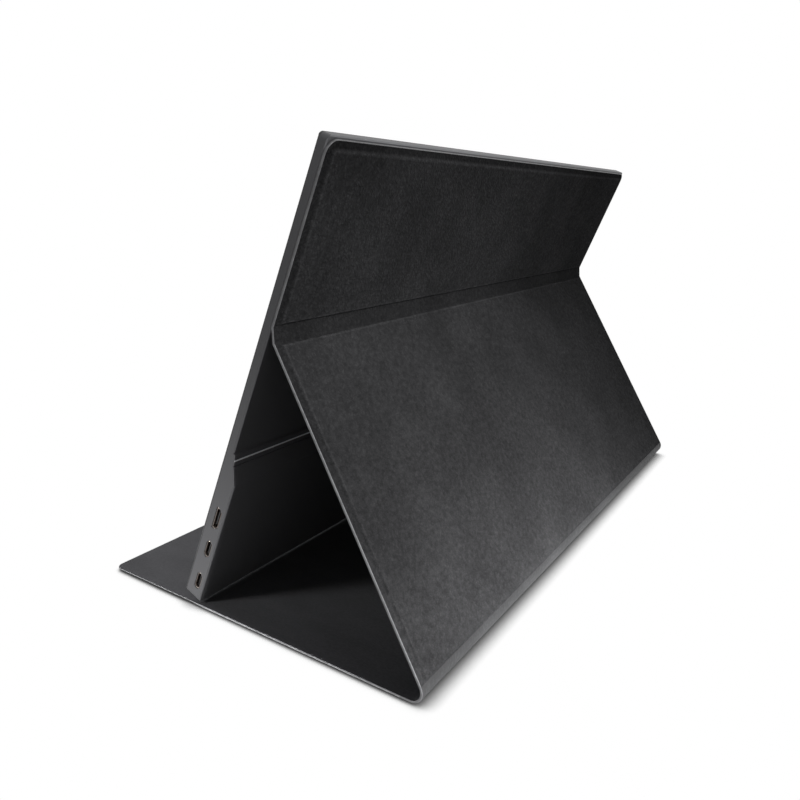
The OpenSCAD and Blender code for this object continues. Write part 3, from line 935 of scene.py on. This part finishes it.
def upper_place():
    """The upper panel lies along the monitor's back."""
    up = Vector((math.cos(STANCE.tilt), math.sin(STANCE.tilt)))
    at = STANCE.crease_top - up * STANCE.crease_v
    return STANCE.leaning(at, STANCE.tilt)


def stand_place():
    """The stand panel rises from the base flap's rear corner."""
    return STANCE.leaning(STANCE.fold_corner, STANCE.stand)


def base_place():
    """The base flap lies on the table, its inside up."""
    return STANCE.leaning(Vector((0, STANCE.panel_t)), 0)


PANELS = {
    "upper": (
        "upper_panel",
        ((STANCE.crease_v, 0, "crease"), (STANCE.panel_top, STANCE.cover_r, None)),
        upper_place,
    ),
    "stand": (
        "stand_panel",
        ((STANCE.stand_end, 0, "spine"), (STANCE.stand_l, 0, "crease")),
        stand_place,
    ),
    "base": ("base_flap", ((0, STANCE.flap_r, None), (STANCE.base_end, 0, "spine")), base_place),
}


class COVER_OT_panels(bpy.types.Operator):
    """Leather and lining of the cover's three stiff panels"""

    bl_idname = "monitor_cover.panels"
    bl_label = "Cover Panels"
    bl_options = {"REGISTER", "UNDO"}

    def execute(self, context):
        for part, (body, ends, place) in PANELS.items():
            # The base flap's edge carries a painted reflection and painted shade
            edge = "edge_with_painted_light" if part == "base" else "sealed_edge"
            leather = leather_panel(f"{part}_leather", ends, place(), edge)
            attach(leather, body)
            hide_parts(f"{part}_skin")
            lining = lining_panel(f"{part}_microfibre", ends, place())
            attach(lining, body)
            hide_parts(f"{part}_lining")
        return {"FINISHED"}


class COVER_OT_folds(bpy.types.Operator):
    """The two flexible folds: the crease behind the monitor and the spine on the table"""

    bl_idname = "monitor_cover.folds"
    bl_label = "Cover Folds"
    bl_options = {"REGISTER", "UNDO"}

    def execute(self, context):
        self.crease()
        self.spine()
        return {"FINISHED"}

    def crease(self):
        """From the stand panel's top round two small bends to the upper panel's foot."""
        bend, radius = STANCE.crease_bend, STANCE.crease_bend_r
        straight = STANCE.crease_w - 2 * radius * math.sin(bend)
        path = [(radius, -bend), (None, straight), (radius, -bend)]
        place = STANCE.leaning(STANCE.crease_low, STANCE.stand)
        out_low = Vector((math.sin(STANCE.stand), -math.cos(STANCE.stand))) * STANCE.rim_t
        out_top = Vector((math.sin(STANCE.tilt), -math.cos(STANCE.tilt))) * STANCE.rim_t
        start = STANCE.crease_low + out_low
        end = STANCE.crease_top + out_top
        for part, layer in cover_layers().items():
            # Painted shade over the whole crease strip
            painted_by_height = ((0, GROOVE_AND_CREASE_SHADE), (200, GROOVE_AND_CREASE_SHADE))
            strip = fold_strip(f"crease_{part}", layer, path, place, layer[-1], painted_by_height)
            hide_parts("crease_strip")
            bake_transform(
                strip,
                "stand_panel",
                "upper_panel",
                start=(0, STANCE.front_y + start.x, start.y),
                end=(0, STANCE.front_y + end.x, end.y),
            )

    def spine(self):
        """From the base flap's board round the back to the stand panel's foot."""
        run = STANCE.base_l - STANCE.spine_run - STANCE.base_end
        path = [
            (None, run),
            (STANCE.spine_r, STANCE.stand),
            (None, STANCE.stand_end - STANCE.spine_run),
        ]
        place = STANCE.leaning(Vector((STANCE.base_end, STANCE.panel_t)), 0)
        along = Vector((math.cos(STANCE.stand), math.sin(STANCE.stand)))
        end = STANCE.fold_corner + along * STANCE.stand_end
        for part, layer in cover_layers().items():
            finish = "stretched_leather" if part == "leather" else layer[-1]
            # The spine's bend gets a painted highlight, by height above the table
            strip = fold_strip(f"spine_{part}", layer, path, place, finish, SPINE_BEND_HIGHLIGHT)
            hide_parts("spine_strip")
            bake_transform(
                strip,
                "base_flap",
                "stand_panel",
                start=(0, STANCE.front_y + STANCE.base_end, STANCE.panel_t),
                end=(0, STANCE.front_y + end.x, end.y),
            )


# Sockets, keys and screws


def into_side(v, w, x):
    """A socket's own axes at the side face: X up the monitor, Y towards the screen, Z outwards."""
    turn = Matrix(((0, 0, 1, 0), (1, 0, 0, 0), (0, 1, 0, 0), (0, 0, 0, 1)))
    return STANCE.monitor() @ Matrix.Translation((x, v, w)) @ turn


def slot_ring(length, height, inset):
    """A slot's outline with round ends."""
    half = Vector((length / 2 - inset, height / 2 - inset))
    return outline(-half, half, (half.y,) * 4, steps=8)


def hdmi_ring(length, height, inset):
    """An outline that is narrower at the back, with sloped shoulders."""
    half = Vector((length / 2 - inset, height / 2 - inset))
    slope = height * 0.45 - inset * (2 - math.sqrt(2))
    corner = 0.1 * MM
    return outline(-half, half, (slope, slope, corner, corner), steps=1)


class UsbC:
    """Sizes of a power socket. The tongue has a length, a height and a depth."""

    ring = staticmethod(slot_ring)
    mouth = (8.9 * MM, 3.16 * MM)
    depth = 7.4 * MM
    tongue = (6.7 * MM, 0.7 * MM, 5.6 * MM)
    tongue_in = 0.9 * MM
    raised = 0.0
    contacts = 12
    pitch = 0.5 * MM
    contact_l = 3.2 * MM


class MiniHdmi:
    """Sizes of the display socket, under the same names."""

    ring = staticmethod(hdmi_ring)
    mouth = (11.2 * MM, 3.16 * MM)
    depth = 7.6 * MM
    tongue = (7.4 * MM, 0.8 * MM, 5.8 * MM)
    tongue_in = 0.8 * MM
    raised = 0.2 * MM
    contacts = 10
    pitch = 0.7 * MM
    contact_l = 3.4 * MM


def drawn_shell(name, kind, place):
    """A drawn steel socket shell: rolled lip, open mouth and closed back."""
    lip = bpy.context.scene.monitor_settings.socket_lip
    back_t = 1.2 * MM
    bm = bmesh.new()
    rings = [(kind.ring(*kind.mouth, 0), height) for height in (-kind.depth, -lip / 2)]
    for k in range(1, 7):
        turn = k * math.pi / 6
        inset = lip / 2 * (1 - math.cos(turn))
        rings.append((kind.ring(*kind.mouth, inset), lip / 2 * (math.sin(turn) - 1)))
    rings.append((kind.ring(*kind.mouth, lip), back_t - kind.depth))
    loft(bm, rings)
    return finish_mesh(name, bm, place, "socket_steel")


def tongue(name, kind, place):
    """The contact tongue in a socket's mouth, with its front edges eased."""
    height, depth = kind.tongue[1:]
    bm = bmesh.new()
    bmesh.ops.create_cube(bm, size=1)
    bmesh.ops.scale(bm, vec=kind.tongue, verts=bm.verts)
    bmesh.ops.translate(bm, vec=(0, 0, -kind.tongue_in - depth / 2), verts=bm.verts)
    front = [e for e in bm.edges if all(v.co.z > -kind.tongue_in - 1e-6 for v in e.verts)]
    bmesh.ops.bevel(
        bm, geom=front, offset=height * 0.3, affect="EDGES", segments=3, profile=0.5, material=-1
    )
    return finish_mesh(name, bm, place, "socket_plastic")


def contacts(name, kind, place):
    """Rows of gold contacts laid into both faces of the tongue."""
    contact_t = 0.06 * MM
    front = -kind.tongue_in - 0.5 * MM
    bm = bmesh.new()
    for side in (-1, 1):
        for i in range(kind.contacts):
            made = bmesh.ops.create_cube(bm, size=1)["verts"]
            bmesh.ops.scale(bm, vec=(kind.pitch * 0.5, contact_t, kind.contact_l), verts=made)
            along = (i - (kind.contacts - 1) / 2) * kind.pitch
            at = (along, side * kind.tongue[1] / 2, front - kind.contact_l / 2)
            bmesh.ops.translate(bm, vec=at, verts=made)
    return finish_mesh(name, bm, place, "socket_steel", "gold_contact")


class COVER_OT_sockets(bpy.types.Operator):
    """The two power sockets and the small display socket in the monitor's side"""

    bl_idname = "monitor_cover.sockets"
    bl_label = "Sockets"
    bl_options = {"REGISTER", "UNDO"}

    mouth_x = 177.8 * MM
    middle_w = 3.9 * MM
    # Each socket's pieces, the node they stand for, its kind and its height up the monitor
    row = (
        ("usb_c_upper", "usb_c_port_upper", UsbC, 30.8 * MM),
        ("usb_c_lower", "usb_c_port_lower", UsbC, 11.1 * MM),
        ("mini_hdmi", "mini_hdmi_port", MiniHdmi, 48.7 * MM),
    )

    def execute(self, context):
        for part, node, kind, v in self.row:
            place = into_side(v, self.middle_w, self.mouth_x)
            shell = drawn_shell(f"{part}_shell", kind, place)
            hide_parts(node)
            raised = into_side(v, self.middle_w + kind.raised, self.mouth_x)
            blade = tongue(f"{part}_tongue", kind, raised)
            pads = contacts(f"{part}_contacts", kind, raised)
            for piece in (shell, blade, pads):
                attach(piece, "monitor")
        return {"FINISHED"}


class COVER_OT_screws(bpy.types.Operator):
    """The small screws along the monitor's bottom edge, with six-lobed recesses"""

    bl_idname = "monitor_cover.screws"
    bl_label = "Screws"
    bl_options = {"REGISTER", "UNDO"}

    head_r = 1.45 * MM
    head_t = 0.55 * MM
    shank_r = 0.8 * MM
    shank_l = 4.6 * MM
    rim_r = 0.15 * MM
    recess_r = (0.72 * MM, 0.7 * MM)
    recess_floor = 0.15 * MM
    recess_lobe = 0.16
    sunk = 0.1 * MM
    height_w = 4.6 * MM
    along_x = (-150 * MM, -50 * MM, 50 * MM, 150 * MM)

    def execute(self, context):
        bm = bmesh.new()
        for x in self.along_x:
            self.add_screw(bm, x)
        screws = finish_mesh("bottom_screws", bm, STANCE.monitor(), "screw_steel")
        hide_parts("shell_screws")
        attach(screws, "monitor")
        return {"FINISHED"}

    def add_screw(self, bm, x):
        """A shank, and a head with an eased rim and a lobed recess, driven in along +Y."""

        def ring(radius, lobe=0.0):
            turns = (2 * math.pi * i / 36 for i in range(36))
            return [
                Vector((math.cos(t), math.sin(t))) * radius * (1 + lobe * math.cos(6 * t))
                for t in turns
            ]

        before = set(bm.verts)
        rings = [(ring(self.shank_r), -self.shank_l), (ring(self.shank_r), 0)]
        rings += [(ring(self.head_r), 0), (ring(self.head_r), self.head_t - self.rim_r)]
        for k in range(1, 4):
            turn = k * math.pi / 6
            radius = self.head_r - self.rim_r * (1 - math.cos(turn))
            rings.append((ring(radius), self.head_t - self.rim_r * (1 - math.sin(turn))))
        for radius, height in zip(self.recess_r, (self.head_t, self.recess_floor)):
            rings.append((ring(radius, self.recess_lobe), height))
        loft(bm, rings)
        made = [v for v in bm.verts if v not in before]
        place = Matrix.Translation((x, self.sunk + self.head_t, self.height_w))
        turned = place @ Matrix.Rotation(math.pi / 2, 4, "X")
        bmesh.ops.transform(bm, matrix=turned, verts=made)


class COVER_OT_finishes(bpy.types.Operator):
    """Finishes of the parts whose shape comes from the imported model"""

    bl_idname = "monitor_cover.finishes"
    bl_label = "Part Finishes"
    bl_options = {"REGISTER", "UNDO"}

    def execute(self, context):
        slots = {s["node"]: s["material_slot"] for s in frame["record"]["subparts"]}
        for name, part in NODES.items():
            part.data.materials.clear()
            part.data.materials.append(FINISHES[slots[name]])
        return {"FINISHED"}


# Stage


def white_for_camera(tree, plain, white):
    """White where the camera or a gloss sees it, and the plain shader for the light it gives."""
    rays = add_node(tree, "LightPath")
    seen = rays.outputs["Is Camera Ray"]
    for kind in ("Is Glossy Ray", "Is Transmission Ray"):
        seen = add_node(tree, "Math", {0: seen, 1: rays.outputs[kind]}, operation="MAXIMUM")
    return add_node(tree, "MixShader", {0: seen, 1: plain, 2: white})


class COVER_OT_stage(bpy.types.Operator):
    """Pale floor, even room light, soft lamps and the camera"""

    bl_idname = "monitor_cover.stage"
    bl_label = "Stage"
    bl_options = {"REGISTER", "UNDO"}

    photo_px = 800
    camera_at = (387.65 * MM, 214.45 * MM, 185.15 * MM)
    azimuth = math.radians(126.03)
    pitch = math.radians(11.12)
    roll = math.radians(-0.24)
    focal_px = 722.52
    centre_px = (354.2, 351.39)
    sensor = 36.0
    # Each lamp's name, place, aim, cone in degrees and radius
    spots = (
        ("key", (0.16, 1.00, 0.62), (0.10, 0.09, -0.06), 34, 0.06),
        ("side", (0.80, -0.52, 0.22), (0.19, -0.05, -0.045), 20, 0.1),
        ("back", (0.15, 0.80, 0.06), (0.08, 0.09, -0.26), 50, 0.06),
        ("front", (-0.10, -0.90, 0.50), (0.05, -0.08, 0.02), 50, 0.2),
    )
    # How far the cleft's shadow reaches, and how open the floor is where it shows white
    cleft_reach = 9 * MM
    open_floor = 0.83

    def execute(self, context):
        self.floor(context)
        self.room(context)
        self.lamps(context)
        self.camera(context)
        context.scene.view_settings.view_transform = "Standard"
        return {"FINISHED"}

    def floor(self, context):
        """A large pale sheet just under the object, white to the camera but for its shadow."""
        half = context.scene.stage_settings.floor_half
        bm = bmesh.new()
        bmesh.ops.create_grid(bm, x_segments=1, y_segments=1, size=half)
        bmesh.ops.translate(bm, vec=(0, 0, -0.05 * MM), verts=bm.verts)
        mesh = bpy.data.meshes.new("floor")
        bm.to_mesh(mesh)
        bm.free()
        floor = bpy.data.objects.new("floor", mesh)
        context.scene.collection.objects.link(floor)
        made, tree, shader, _ = new_material("matt_white_paper")
        tree.nodes.remove(shader)
        # The paper shows white, and grey only in the cleft under the object's edges
        reach = {"Distance": self.cleft_reach}
        cleft = add_node(tree, "AmbientOcclusion", reach, samples=8).outputs["AO"]
        near = add_node(tree, "MapRange", {"Value": cleft, "From Max": self.open_floor})
        shadow = add_node(tree, "Math", {0: near, 1: 2.0}, operation="POWER")
        glow = add_node(tree, "Emission", {"Strength": shadow})
        grey = add_node(tree, "BsdfDiffuse", {"Color": shade(linear("#6e6e6e"))})
        seen = white_for_camera(tree, grey, glow)
        feed(tree, tree.nodes["Material Output"], {"Surface": seen})
        mesh.materials.append(made)

    def room(self, context):
        """Even light from all round, and a white background for the camera and for gloss."""
        world = bpy.data.worlds.new("room")
        world.use_nodes = True
        tree = world.node_tree
        tree.nodes.clear()
        light, white = (
            add_node(tree, "Background", {"Color": (1, 1, 1, 1), "Strength": strength})
            for strength in (context.scene.stage_settings.room_strength, 1.0)
        )
        surface = white_for_camera(tree, light, white)
        add_node(tree, "OutputWorld", {"Surface": surface})
        context.scene.world = world

    def lamps(self, context):
        """Soft spots: two behind the cover, one at the socket side and one in front."""
        settings = context.scene.stage_settings
        for name, at, aim, cone, size in self.spots:
            data = bpy.data.lights.new(name, "SPOT")
            data.energy = getattr(settings, f"{name}_power")
            data.spot_size = math.radians(cone)
            data.spot_blend = 1.0
            data.shadow_soft_size = size
            lamp = bpy.data.objects.new(name, data)
            lamp.location = at
            way = Vector(at) - Vector(aim)
            lamp.rotation_euler = way.to_track_quat("Z", "Y").to_euler()
            # The front lamp would glare in the screen
            lamp.visible_glossy = name != "front"
            context.scene.collection.objects.link(lamp)

    def camera(self, context):
        """The photograph's own view, found from the object's edges."""
        back = Vector(
            (
                math.sin(self.azimuth) * math.cos(self.pitch),
                -math.cos(self.azimuth) * math.cos(self.pitch),
                math.sin(self.pitch),
            )
        )
        level = (-back).cross(Vector((0, 0, 1))).normalized()
        upright = level.cross(-back)
        right = level * math.cos(self.roll) + upright * math.sin(self.roll)
        top = upright * math.cos(self.roll) - level * math.sin(self.roll)
        data = bpy.data.cameras.new("camera")
        data.sensor_width = self.sensor
        data.lens = self.focal_px / self.photo_px * self.sensor
        data.shift_x = 0.5 - self.centre_px[0] / self.photo_px
        data.shift_y = self.centre_px[1] / self.photo_px - 0.5
        data.clip_start = 10 * MM
        camera = bpy.data.objects.new("camera", data)
        turn = Matrix((right, top, back)).transposed().to_4x4()
        camera.matrix_world = Matrix.Translation(self.camera_at) @ turn
        context.scene.collection.objects.link(camera)
        context.scene.camera = camera


class COVER_PT_panel(bpy.types.Panel):
    """Lists the pieces and their settings"""

    bl_label = "Portable Monitor"
    bl_idname = "COVER_PT_panel"
    bl_space_type = "VIEW_3D"
    bl_region_type = "UI"
    bl_category = "Monitor"

    def draw(self, context):
        layout = self.layout
        for group in ("cover_settings", "monitor_settings", "stage_settings"):
            settings = getattr(context.scene, group)
            for name in settings.__annotations__:
                layout.prop(settings, name)
        for operator in OPERATORS:
            layout.operator(operator.bl_idname)


SETTINGS = {
    "cover_settings": CoverSettings,
    "monitor_settings": MonitorSettings,
    "stage_settings": StageSettings,
}
OPERATORS = (
    COVER_OT_panels,
    COVER_OT_folds,
    COVER_OT_sockets,
    COVER_OT_screws,
    COVER_OT_finishes,
    COVER_OT_stage,
)


def register():
    for made in (*SETTINGS.values(), *OPERATORS, COVER_PT_panel):
        bpy.utils.register_class(made)
    for name, made in SETTINGS.items():
        setattr(bpy.types.Scene, name, PointerProperty(type=made))


def unregister():
    for name in SETTINGS:
        delattr(bpy.types.Scene, name)
    for made in (COVER_PT_panel, *OPERATORS, *SETTINGS.values()):
        bpy.utils.unregister_class(made)


def main():
    register()
    FINISHES.update(make_finishes())
    for operator in OPERATORS:
        group, name = operator.bl_idname.split(".")
        getattr(getattr(bpy.ops, group), name)()


if __name__ == "__main__":
    main()
